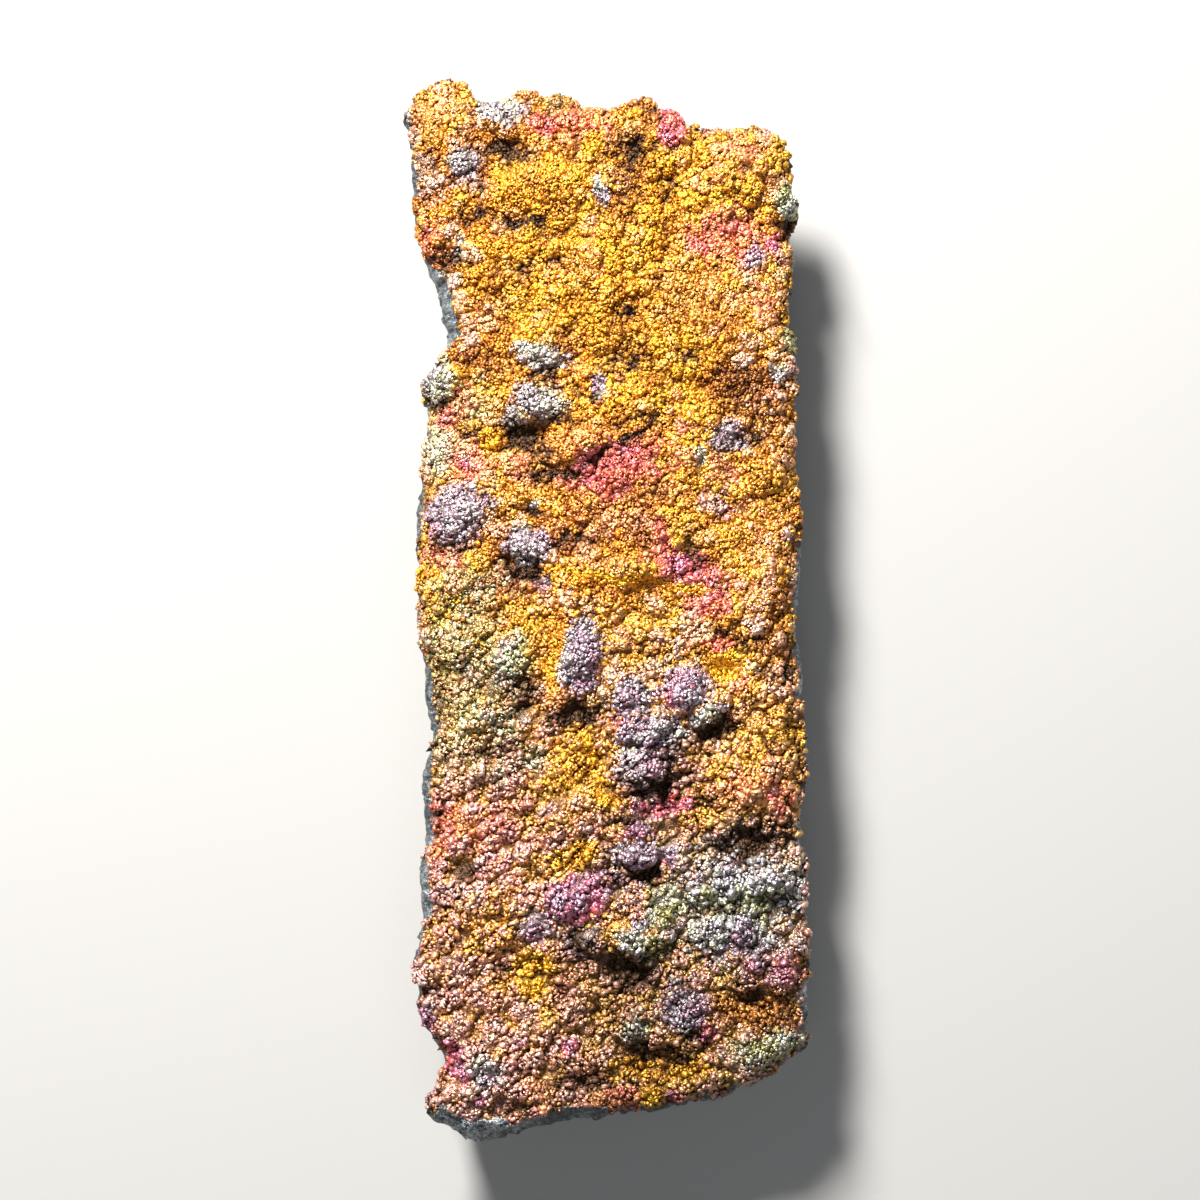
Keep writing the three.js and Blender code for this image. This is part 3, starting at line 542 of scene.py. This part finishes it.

# Painted shade, for shadows under knobs and in deep crevices: x, y, half widths, turn, darkness.
SHADE_PATCHES = [
    (-9.2, 47.5, 2.6, 1.0, -18, 0.9), (3.0, 47.6, 1.9, 1.9, 0, 0.65), (6.1, 44.4, 1.0, 1.3, 0, 0.6),
    (18.8, 40.2, 1.9, 0.7, -8, 0.85), (-13.4, 44.2, 1.7, 0.7, 0, 0.6), (-13.2, 41.3, 1.4, 0.8, 0, 0.5),
    (-9.0, 40.5, 2.5, 0.6, 4, 0.95), (-3.6, 41.8, 2.2, 0.35, 24, 0.5), (-15.4, 36.7, 1.6, 1.0, 0, 0.6),
    (-4.7, 36.4, 1.4, 1.0, 0, 0.6), (-8.1, 35.7, 1.2, 0.9, 0, 0.5), (2.2, 31.2, 1.0, 0.7, 0, 0.8),
    (2.5, 26.6, 3.0, 1.3, 10, 0.5), (8.5, 26.8, 1.1, 0.9, 0, 0.4), (-5.8, 24.8, 1.2, 0.9, 0, 0.6),
    (-0.7, 22.5, 0.8, 0.7, 0, 0.7), (-4.4, 20.4, 1.6, 0.6, 0, 0.75), (-8.6, 18.3, 2.3, 1.5, -30, 1.0),
    (-6.2, 16.7, 1.5, 1.1, 0, 0.7), (-5.2, 14.7, 3.2, 0.7, 4, 0.85), (-0.9, 16.2, 2.6, 0.7, 32, 0.7),
    (2.6, 18.4, 1.7, 0.6, 20, 0.6), (4.0, 20.4, 2.0, 0.7, 0, 0.5), (14.8, 18.3, 1.6, 0.8, 0, 0.6),
    (11.8, 17.4, 0.9, 0.8, 0, 0.4), (-17.0, 21.9, 1.4, 0.8, 0, 0.6), (-13.3, 19.2, 1.6, 0.9, 0, 0.5),
    (-7.6, 10.8, 0.9, 0.5, 0, 1.0), (-2.6, 7.9, 2.2, 1.0, 0, 0.7), (-16.0, 7.5, 1.9, 0.9, 0, 0.4),
    (-8.2, 4.9, 2.1, 1.0, 0, 0.85), (9.4, 6.3, 1.3, 0.9, 0, 0.6), (2.2, 4.0, 6.6, 0.3, -9, 0.55),
    (-8.2, -7.2, 1.2, 1.9, 0, 0.75), (-3.4, -10.0, 2.7, 1.4, 10, 1.0), (12.0, -1.2, 1.7, 0.7, -10, 0.6),
    (14.5, -2.5, 1.9, 0.8, -10, 0.75), (17.2, -5.8, 2.0, 0.8, 0, 0.7), (9.8, -3.2, 0.9, 0.7, 0, 0.65),
    (11.4, -11.5, 2.5, 0.9, 18, 1.0), (17.0, -13.4, 1.0, 0.8, 0, 0.7), (6.5, -13.5, 2.1, 1.1, 10, 0.6),
    (4.6, -16.8, 3.1, 1.3, 12, 0.8), (6.0, -18.2, 1.7, 0.6, 0, 0.7), (10.0, -18.8, 1.3, 0.9, 0, 0.5),
    (2.0, -20.5, 2.0, 0.9, 0, 0.6), (-17.2, -20.2, 1.3, 0.6, 0, 0.5), (14.4, -22.9, 4.2, 1.9, 4, 0.95),
    (-0.5, -23.6, 1.0, 0.6, 0, 0.6), (3.4, -26.1, 2.3, 0.9, 0, 1.0), (0.4, -27.0, 1.3, 0.5, 0, 0.7),
    (11.8, -29.8, 2.9, 0.6, 8, 0.8), (17.0, -27.9, 1.5, 0.6, 0, 0.5), (17.5, -30.3, 2.6, 0.5, 0, 0.6),
    (-14.2, -26.0, 1.5, 0.9, 0, 0.85), (-16.5, -29.7, 1.3, 0.6, 0, 0.5), (-2.3, -33.4, 1.9, 1.3, 10, 0.8),
    (-5.2, -34.6, 1.3, 0.7, 0, 0.5), (2.5, -36.4, 2.9, 1.9, 0, 1.0), (6.5, -36.6, 1.2, 1.0, 0, 0.4),
    (-10.5, -36.0, 1.0, 0.8, 0, 0.7), (-18.2, -38.2, 1.3, 0.7, 0, 0.7), (15.0, -38.8, 1.7, 0.9, 0, 0.6),
    (4.5, -44.2, 2.7, 1.1, 0, 0.85), (8.8, -42.5, 1.1, 0.7, 0, 0.85), (9.8, -43.6, 0.9, 0.7, 0, 0.8),
    (7.6, -44.4, 1.3, 1.0, 0, 0.6), (-3.0, -47.4, 4.8, 0.9, 8, 0.75), (-9.0, -50.2, 2.5, 0.8, 5, 0.7),
    (-5.5, -50.4, 0.8, 0.9, 0, 0.75), (3.0, -39.6, 3.2, 1.2, 0, 0.35), (-11.0, -13.4, 2.8, 0.9, 12, 0.5),
]


FILM_STOPS = [0.00, 0.10, 0.22, 0.33, 0.42, 0.50, 0.57, 0.64, 0.71, 0.79, 0.86, 0.93, 1.00]
FILM_COLOURS = np.array([
    (0.32, 0.11, 0.030), (0.58, 0.23, 0.03), (0.84, 0.39, 0.03), (0.94, 0.58, 0.035),
    (0.90, 0.45, 0.18), (0.88, 0.31, 0.16), (0.86, 0.22, 0.20), (0.76, 0.24, 0.38),
    (0.50, 0.34, 0.46), (0.49, 0.46, 0.53), (0.62, 0.63, 0.61), (0.58, 0.60, 0.36),
    (0.34, 0.30, 0.08),
])
SOUTHERN_STOPS = [0.0, 0.25, 0.5, 0.7, 0.85, 1.0]
SOUTHERN_COLOURS = np.array([
    (0.87, 0.54, 0.15), (0.87, 0.49, 0.24), (0.85, 0.43, 0.33), (0.78, 0.37, 0.40),
    (0.66, 0.42, 0.52), (0.62, 0.58, 0.56),
])
# Pale cream to pink, painted on the knobs' tops as a highlight.
GLINT_COLOURS = np.array([
    (0.94, 0.74, 0.38), (0.92, 0.66, 0.42), (0.88, 0.54, 0.44), (0.76, 0.62, 0.62),
])


def film_colour(film, stops=FILM_STOPS, colours=FILM_COLOURS):
    """The colour of a film of this thickness."""
    return np.stack([np.interp(film, stops, part) for part in colours.T], axis=-1)


# Waves to a millimetre of the clouds that change the film from place to place and shift the painted
# shade, how much of the southern colours and of the pale painted highlight on the knobs' tops shows at
# most, and where a knob's top starts and is full.
BROAD_WAVES = 0.11
MIDDLING_WAVES = 0.34
SHIFT_WAVES = 0.42
SHADE_WAVES = 0.6
SOUTHERN_MOST = 0.95
GLINT_MOST = 0.8
KNOB_TOP = (0.3, 0.8)
PATCH_FADE = 0.2
PATCH_SHIFT = 0.9


def clouds_at(spots, waves, offset=0.0):
    return each(spots + offset, [waves] * 3, noise.noise)


def crust_colour(spots, hue, top, chance, grain):
    """The film's colour at each spot. Chance, from 0 to 1, decides near a patch's border."""
    x, y = spots[:, 0], spots[:, 1]
    broad = clouds_at(spots, BROAD_WAVES)
    middling = clouds_at(spots, MIDDLING_WAVES)
    shift = clouds_at(spots, SHIFT_WAVES, offset=31.0)
    colour = film_colour(0.26 + 0.24 * broad + 0.24 * middling + 0.10 * hue + grain)
    southern_film = 0.02 + 0.75 * smoothstep(top, *KNOB_TOP) + 0.25 * hue + 0.45 * shift + 1.5 * grain
    southern_film -= 0.22 * smoothstep(x, -11, -4)
    southern_colour = film_colour(southern_film, SOUTHERN_STOPS, SOUTHERN_COLOURS)
    southern_part = SOUTHERN_MOST * smoothstep(-y, -6, 26) * (0.8 + 0.2 * chance)
    colour += (southern_colour - colour) * southern_part[:, None]
    # Painted highlight: the knobs' tops turn pale, less so in the middle of the slab's north half.
    pale = GLINT_MOST * smoothstep(top, *KNOB_TOP)
    pale *= smoothstep(hue + 0.8 * shift + 6 * grain, -0.15, 0.5)
    pale *= 1 - 0.6 * smoothstep(y, -5, 15) * smoothstep(-np.abs(x), -15, -7)
    glint_colour = film_colour(0.45 + 0.35 * hue - 0.5 * broad, np.linspace(0, 1, 4), GLINT_COLOURS)
    colour += (glint_colour - colour) * pale[:, None]
    border = 0.2 + 0.45 * chance
    for patch in FILM_PATCHES:
        share = patch[6] * patch_share(x + PATCH_SHIFT * middling, y + PATCH_SHIFT * shift, patch)
        mixed = smoothstep(share, border - PATCH_FADE, border + PATCH_FADE) * (0.5 + 0.5 * patch[6])
        film = patch[5] + 0.7 * grain + 0.08 * middling + 0.05 * hue
        colour += (film_colour(film) - colour) * mixed[:, None]
    # Darker towards the south end, and more so in its eastern half.
    duller = 0.28 * smoothstep(x, -8, 0) * smoothstep(-y, 28, 38) + 0.10 * smoothstep(-y, 30, 50)
    return colour * (1 - duller)[:, None]


def shade_at(spots):
    """How much painted shade each spot gets from the shade patches that it lies in."""
    x, y, _ = spots.T
    shift = clouds_at(spots, SHADE_WAVES)
    x, y = x + 0.5 * shift, y + 0.4 * shift
    return np.max([patch[5] * patch_share(x, y, patch) for patch in SHADE_PATCHES], axis=0)


slab_colour = crust_colour(places, hue, top, np.full(len(x), 0.5), np.zeros(len(x)))
# Painted shade: darker in the shade patches, in hollows below the surrounding crust and in the creases
# between knobs, and less so where the crust stands high.
hollow_shade = np.clip(shade_at(places) + np.clip(-0.25 * relief, -0.15, 0.5), -0.15, 1)
dark = np.clip(hollow_shade + crust * rough * creases, 0, 1)


def keep_numbers(mesh, name, values):
    mesh.attributes.new(name, "FLOAT", "POINT").data.foreach_set("value", values.astype(np.float32))


def keep_colours(mesh, name, colours):
    values = np.concatenate([colours, np.ones((len(colours), 1))], axis=1)
    layer = mesh.attributes.new(name, "FLOAT_COLOR", "POINT")
    layer.data.foreach_set("color", values.astype(np.float32).ravel())


keep_colours(slab_mesh, "film", slab_colour)
keep_numbers(slab_mesh, "dark", dark)
keep_numbers(slab_mesh, "crust", crust)

# The brown that painted shade darkens the crust and the beads towards.
SHADE_BROWN = (0.070, 0.034, 0.016, 1)
STONE_COLOURS = [
    (0.00, (0.02, 0.022, 0.025)), (0.42, (0.045, 0.050, 0.057)), (0.52, (0.105, 0.118, 0.13)),
    (0.60, (0.25, 0.275, 0.295)), (0.74, (0.64, 0.68, 0.68)),
]
RUST_COLOURS = [
    (0.00, (0.06, 0.03, 0.015)), (0.40, (0.20, 0.11, 0.05)), (0.70, (0.36, 0.22, 0.10)),
    (1.00, (0.50, 0.37, 0.20)),
]


GRAIN = 0.5 * MM
FIBRE_THICKNESS = 0.35 * MM
CLOUDS = 5 * MM
RUST_SPOTS = 2.5 * MM
RUST_TOP = 9 * MM
RUST_FADE = [(0.25, (1, 1, 1)), (0.75, (0, 0, 0))]


def slab_material():
    """Film on the crust under painted shade, silky grey fibres on the broken sides, and rust towards the
    back.
    """
    paint = Paint("goethite slab")
    covered = paint.attribute("crust")
    fine = paint.noise(GRAIN, 4)
    # Painted shade: the crust is at least 0.6 of the way to brown, for the shade between the beads, and
    # browner in the shaded places.
    shade = paint.attribute("dark") * 0.4 + 0.6
    crust_paint = paint.mix(shade, paint.colour_attribute("film"), SHADE_BROWN)
    fibre = paint.noise(FIBRE_THICKNESS, 5, stretch=(1, 1, 9))
    cloud = paint.noise(CLOUDS, 4)
    stone_colour = paint.ramp(fibre * 0.55 + cloud * 0.5, STONE_COLOURS)
    rust_colour = paint.ramp(paint.noise(RUST_SPOTS, 6) * 0.8 + fine * 0.2, RUST_COLOURS)
    place = paint.node("ShaderNodeTexCoord").outputs["Object"]
    height = Value(paint, paint.node("ShaderNodeSeparateXYZ", None, vector=place).outputs[2])
    rusty = paint.ramp(height * (1 / RUST_TOP) + (cloud - 0.5) * 1.6, RUST_FADE)
    broken_colour = paint.mix(rusty, stone_colour, rust_colour)
    normal = paint.bump(fibre, 0.45 * MM)
    normal = paint.bump(fine, 0.20 * MM, under=normal)
    return paint.finish(
        base_color=paint.mix(covered, broken_colour, crust_paint),
        metallic=0.65 - Value(paint, rusty) * 0.5,
        roughness=0.30 + Value(paint, rusty) * 0.35 + fine * 0.1,
        normal=normal,
    )


slab_mesh.materials.clear()
slab_mesh.materials.append(slab_material())


def read_corners(mesh):
    """The place in millimetres, and the face's normal, at every corner of every face."""
    indices = np.zeros(len(mesh.loops), np.int32)
    mesh.loops.foreach_get("vertex_index", indices)
    sizes = np.zeros(len(mesh.polygons), np.int32)
    mesh.polygons.foreach_get("loop_total", sizes)
    face_normals = np.repeat(read_vectors(mesh.polygons, "normal"), sizes, axis=0)
    return read_vectors(mesh.vertices, "co")[indices] / MM, face_normals


def keep_bake_map(mesh, u, v):
    """Keeps the places on a square picture that the piece's colours can be baked to."""
    layer = mesh.uv_layers.new(name="OFBake")
    layer.uv.foreach_set("vector", np.stack([u, v], axis=1).astype(np.float32).ravel())


# The slab's own map: the crust and the back side by side, then its four sides as narrow strips.
MAP_LENGTH = 114.0
MAP_WIDTH = 44.0
MAP_HEIGHT = 17.0
STEEP = 0.35
BACK_START = 0.39
SIDE_STRIPS = 0.78
END_STRIPS = 0.93
STRIP_STEP = 0.075
STRIP_WIDTH = 0.065
corner_places, corner_normals = read_corners(slab_mesh)
corner_x, corner_y, corner_z = corner_places.T
up, down = corner_normals[:, 2] > STEEP, corner_normals[:, 2] < -STEEP
endways = np.abs(corner_normals[:, 1]) > np.abs(corner_normals[:, 0])
beyond = (corner_normals[:, 0] > 0) * ~endways + (corner_normals[:, 1] > 0) * endways
across = (corner_x + MAP_WIDTH / 2) / MAP_LENGTH
height = corner_z / MAP_HEIGHT * STRIP_WIDTH
keep_bake_map(
    slab_mesh,
    np.select([up, down, endways],
              [across, across + BACK_START, END_STRIPS + height],
              SIDE_STRIPS + STRIP_STEP * beyond + height),
    np.where(endways & ~up & ~down, across + 0.5 * beyond, corner_y / MAP_LENGTH + 0.5),
)

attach(slab, "root")
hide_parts("goethite")

# The beads are the rounded ends of the stone's fibres, a third of a millimetre to one across,
# and so fused over every knob that little more than their tops shows. They are small closed
# domes set into the slab's crust, joined into a few pieces from north to south.
BEAD_SEED = 5
BEAD_TRIES = 380000
SPACING_NORTH = 0.24
SPACING_SOUTH = 0.31
SPACING_SPREAD = 0.32
SPREAD_ENDS = (-1.5, 1.7)
random = np.random.default_rng(BEAD_SEED)

slab_mesh.calc_loop_triangles()
corners = np.zeros(len(slab_mesh.loop_triangles) * 3, np.int32)
slab_mesh.loop_triangles.foreach_get("vertices", corners)
corners = corners.reshape(-1, 3)
sides = places[corners]
areas = np.linalg.norm(np.cross(sides[:, 1] - sides[:, 0], sides[:, 2] - sides[:, 0]), axis=1)
areas *= crust[corners].mean(axis=1) > 0.5
chosen = corners[random.choice(len(corners), BEAD_TRIES, p=areas / areas.sum())]
shares = random.dirichlet((1, 1, 1), BEAD_TRIES)


def blend(values):
    """Values at the chosen places, from those at the corners of the triangles they are in."""
    return np.einsum("ij,ij...->i...", shares, values[chosen])


bead_places = blend(places)
bead_south = blend(southern)
spacing = SPACING_NORTH + (SPACING_SOUTH - SPACING_NORTH) * bead_south
spacing *= np.exp(SPACING_SPREAD * random.normal(0, 1, BEAD_TRIES).clip(*SPREAD_ENDS))


def settle(places, spacing):
    """Keeps the places, in turn, that aren't nearer to another than the mean of both spacings."""
    cell = spacing.max()
    cells = {}
    kept = []
    for index, ((x, y, z), room) in enumerate(zip(places.tolist(), spacing.tolist())):
        column, row = int(x // cell), int(y // cell)
        near = [
            other
            for i in (column - 1, column, column + 1)
            for j in (row - 1, row, row + 1)
            for other in cells.get((i, j), ())
        ]
        if any(
            (x - a) ** 2 + (y - b) ** 2 + (z - c) ** 2 < (0.5 * (room + other_room)) ** 2
            for a, b, c, other_room in near
        ):
            continue
        cells.setdefault((column, row), []).append((x, y, z, room))
        kept.append(index)
    return np.array(kept)


kept = settle(bead_places, spacing)
shares, chosen = shares[kept], chosen[kept]
bead_places, spacing, bead_south = bead_places[kept], spacing[kept], bead_south[kept]


def unit(vectors):
    return vectors / np.linalg.norm(vectors, axis=1)[:, None]


# The knobs are finer than the slab's faces, so each bead's own height and slope are worked out.
SLOPE_STEP = 0.08
SLOPE_LIMIT = 1.1
FILM_GRAIN = 0.04
bead_spots, bead_rough = bead_places.copy(), blend(rough)
broad_rise, small_rise, bead_creases, bead_hue, bead_top = knobs_at(bead_spots)
bead_rise = broad_rise + small_rise
bead_normals = unit(blend(normals))
bead_lift = bead_rough * (bead_rise - blend(knob_rise)) + blend(crust) * CRUST_SINK
bead_places += bead_normals * bead_lift[:, None]
bead_across = unit(np.cross(bead_normals, (0.0, 1.0, 0.0)))
leaning = np.zeros(bead_normals.shape)
for direction in (bead_across, np.cross(bead_normals, bead_across)):
    slope = (sum(knobs_at(bead_spots + direction * SLOPE_STEP)[:2]) - bead_rise) / SLOPE_STEP
    leaning += direction * (np.clip(slope, -SLOPE_LIMIT, SLOPE_LIMIT) * bead_rough)[:, None]
bead_normals = unit(bead_normals - leaning)
bead_chance = random.uniform(0, 1, len(kept))
# Painted shade for each bead, from the slab's shaded places, varied at random, and from the creases
# between knobs.
bead_shade = np.clip(blend(hollow_shade) * (0.7 + 0.5 * bead_chance) + bead_rough * bead_creases, 0, 1)
bead_grain = random.normal(0, FILM_GRAIN, len(kept))
bead_colours = crust_colour(bead_spots, bead_hue, bead_top, bead_chance, bead_grain)

BEAD_FLATNESS = 0.80
BEAD_SKIRT = 1.5


def dome_template(sides, rings):
    """A closed half ball of unit radius with a skirt below its rim, as points and faces."""
    dome = bmesh.new()
    bmesh.ops.create_uvsphere(dome, u_segments=sides, v_segments=2 * rings, radius=1)
    under = [vertex for vertex in dome.verts if vertex.co.z < -0.1]
    bmesh.ops.delete(dome, geom=under, context="VERTS")
    rim = [edge for edge in dome.edges if edge.is_boundary]
    bmesh.ops.holes_fill(dome, edges=rim, sides=0)
    bmesh.ops.triangulate(dome, faces=dome.faces)
    bmesh.ops.recalc_face_normals(dome, faces=dome.faces)
    dome.verts.index_update()
    points = np.array([vertex.co[:] for vertex in dome.verts])
    rim = points[:, 2] < 0.05
    points[:, 2] = np.where(rim, -BEAD_SKIRT, np.maximum(points[:, 2], 0) ** BEAD_FLATNESS)
    faces = np.array([[vertex.index for vertex in face.verts] for face in dome.faces])
    dome.free()
    return points, faces


BEAD_DOME = dome_template(sides=5, rings=2)
TONE_TINT = (0.97, 0.88, 0.74, 1)


def bead_material():
    """Film over metal, with painted shade that deepens its colour and then turns it brown towards the
    foot of each bead and in the shaded places.
    """
    paint = Paint("iridescent beads")
    fine = paint.noise(0.30 * MM, 3, stretch=(1.4, 0.7, 1))
    film = paint.colour_attribute("film")
    tone = paint.attribute("tone")
    toned = paint.mix(tone, film, TONE_TINT, "MULTIPLY")
    # Painted shade: where dark, the film deepens towards its own square, then turns brown.
    dark = paint.attribute("dark")
    deeper = paint.mix(dark, toned, paint.mix(0.5, film, film, "MULTIPLY"))
    return paint.finish(
        base_color=paint.mix(dark * dark, deeper, SHADE_BROWN),
        metallic=0.68,
        roughness=0.21 + fine * 0.14 + dark * 0.15 + tone * 0.25,
        coat_weight=0.40 - dark * 0.35,
        coat_roughness=0.22,
        normal=paint.bump(fine, 0.24 * MM),
    )


# A bead's radius is a share of its spacing, and its height and depth are shares of its radius.
# Each pair of values is where a range starts and ends.
BEAD_RADIUS = 1.10
SOUTH_NARROWER = 0.08
BEAD_HEIGHT = (0.25, 0.55)
SMOOTH_HEIGHT = 0.25
BEAD_STRETCH = (0.65, 1.05)
BEAD_UNEVEN = 0.24
BEAD_TILT = 0.22
BEAD_SINK = 0.40
SINK_SPREAD = 0.16
RIDGE_DIRECTION = np.array((math.cos(RIDGE_TURN), math.sin(RIDGE_TURN), 0))
RIDGE_SPREAD = 0.8
FOOT_SHADE = (0.1, 0.9)
FOOT_DEPTH = 1.3
FOOT_FROM = (0.3, 0.95)
TONE_NORTH = 0.45
TONE_SOUTH_LESS = 0.2
TONE_GRAIN = 0.16


def bead_domes(members, dome_points, dome_faces):
    """Many domes, each turned, stretched and sunk in its own way: points, faces and numbers."""
    count = len(members)
    south, rough = bead_south[members], bead_rough[members]
    normal = unit(bead_normals[members] + random.normal(0, BEAD_TILT, (count, 3)))
    along = random.normal(0, RIDGE_SPREAD, size=(count, 3)) + RIDGE_DIRECTION
    across = unit(np.cross(normal, along))
    along = np.cross(normal, across)
    radius = (BEAD_RADIUS - SOUTH_NARROWER * south) * spacing[members] * MM
    stretch = random.uniform(*BEAD_STRETCH, count)
    tall = random.uniform(*BEAD_HEIGHT, count) * (SMOOTH_HEIGHT + (1 - SMOOTH_HEIGHT) * rough)
    sink = BEAD_SINK * tall + random.normal(0, SINK_SPREAD, count)
    uneven = 1 + BEAD_UNEVEN * random.normal(size=(count, len(dome_points), 1))
    template = dome_points[None, :, :] * uneven
    points = (
        bead_places[members][:, None, :] * MM
        - normal[:, None, :] * (radius * sink)[:, None, None]
        + template[:, :, 0:1] * (radius * stretch)[:, None, None] * across[:, None, :]
        + template[:, :, 1:2] * (radius / stretch)[:, None, None] * along[:, None, :]
        + template[:, :, 2:3] * (radius * tall)[:, None, None] * normal[:, None, :]
    )
    corners_per_bead = len(dome_points)
    faces = (dome_faces[None] + (np.arange(count) * corners_per_bead)[:, None, None]).reshape(-1, 3)
    lowness = 1 - np.maximum(dome_points[:, 2], 0)
    foot_shade = random.uniform(*FOOT_SHADE, count) * (0.40 + 0.80 * south) * (0.2 + 0.8 * rough)
    foot = FOOT_DEPTH * smoothstep(lowness, *FOOT_FROM) * foot_shade[:, None]
    own_tone = np.clip(random.normal(TONE_NORTH, TONE_GRAIN, count) - TONE_SOUTH_LESS * south, 0, 1)
    shades = bead_shade[members][:, None]
    numbers = {
        "tone": np.repeat(own_tone[:, None], corners_per_bead, axis=1),
        "dark": np.clip(shades + foot * (1 - shades), 0, 1),
    }
    numbers = {key: value.ravel() for key, value in numbers.items()}
    colours = np.repeat(bead_colours[members], corners_per_bead, axis=0)
    return points.reshape(-1, 3), faces, colours, numbers


# The beads' own map is the crust seen from above, with the few faces that look down in a strip.
BEAD_PIECES = 5
MAP_SHARE = 0.95
UNDER_STRIP = 0.96
UNDER_WIDTH = 0.03
LOOKS_DOWN = -0.05


def bead_piece(name, members):
    """One mesh of many closed domes."""
    points, faces, colours, numbers = bead_domes(members, *BEAD_DOME)
    mesh = bpy.data.meshes.new(name)
    mesh.from_pydata(points.tolist(), [], faces.tolist())
    for face in mesh.polygons:
        face.use_smooth = True
    keep_colours(mesh, "film", colours)
    for key, values in numbers.items():
        keep_numbers(mesh, key, values)
    corner_places, corner_normals = read_corners(mesh)
    under = corner_normals[:, 2] < LOOKS_DOWN
    spread = np.ptp(corner_places, axis=0)
    u, v, _ = ((corner_places - corner_places.min(axis=0)) / spread * MAP_SHARE).T
    keep_bake_map(mesh, u, np.where(under, UNDER_STRIP + v * UNDER_WIDTH, v))
    mesh.materials.append(bead_paint)
    piece = bpy.data.objects.new(name, mesh)
    bpy.context.scene.collection.objects.link(piece)
    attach(piece, "root")


bead_paint = bead_material()
north_to_south = np.argsort(-bead_places[:, 1])
for number, members in enumerate(np.array_split(north_to_south, BEAD_PIECES), start=1):
    bead_piece(f"beads_{number}", members)
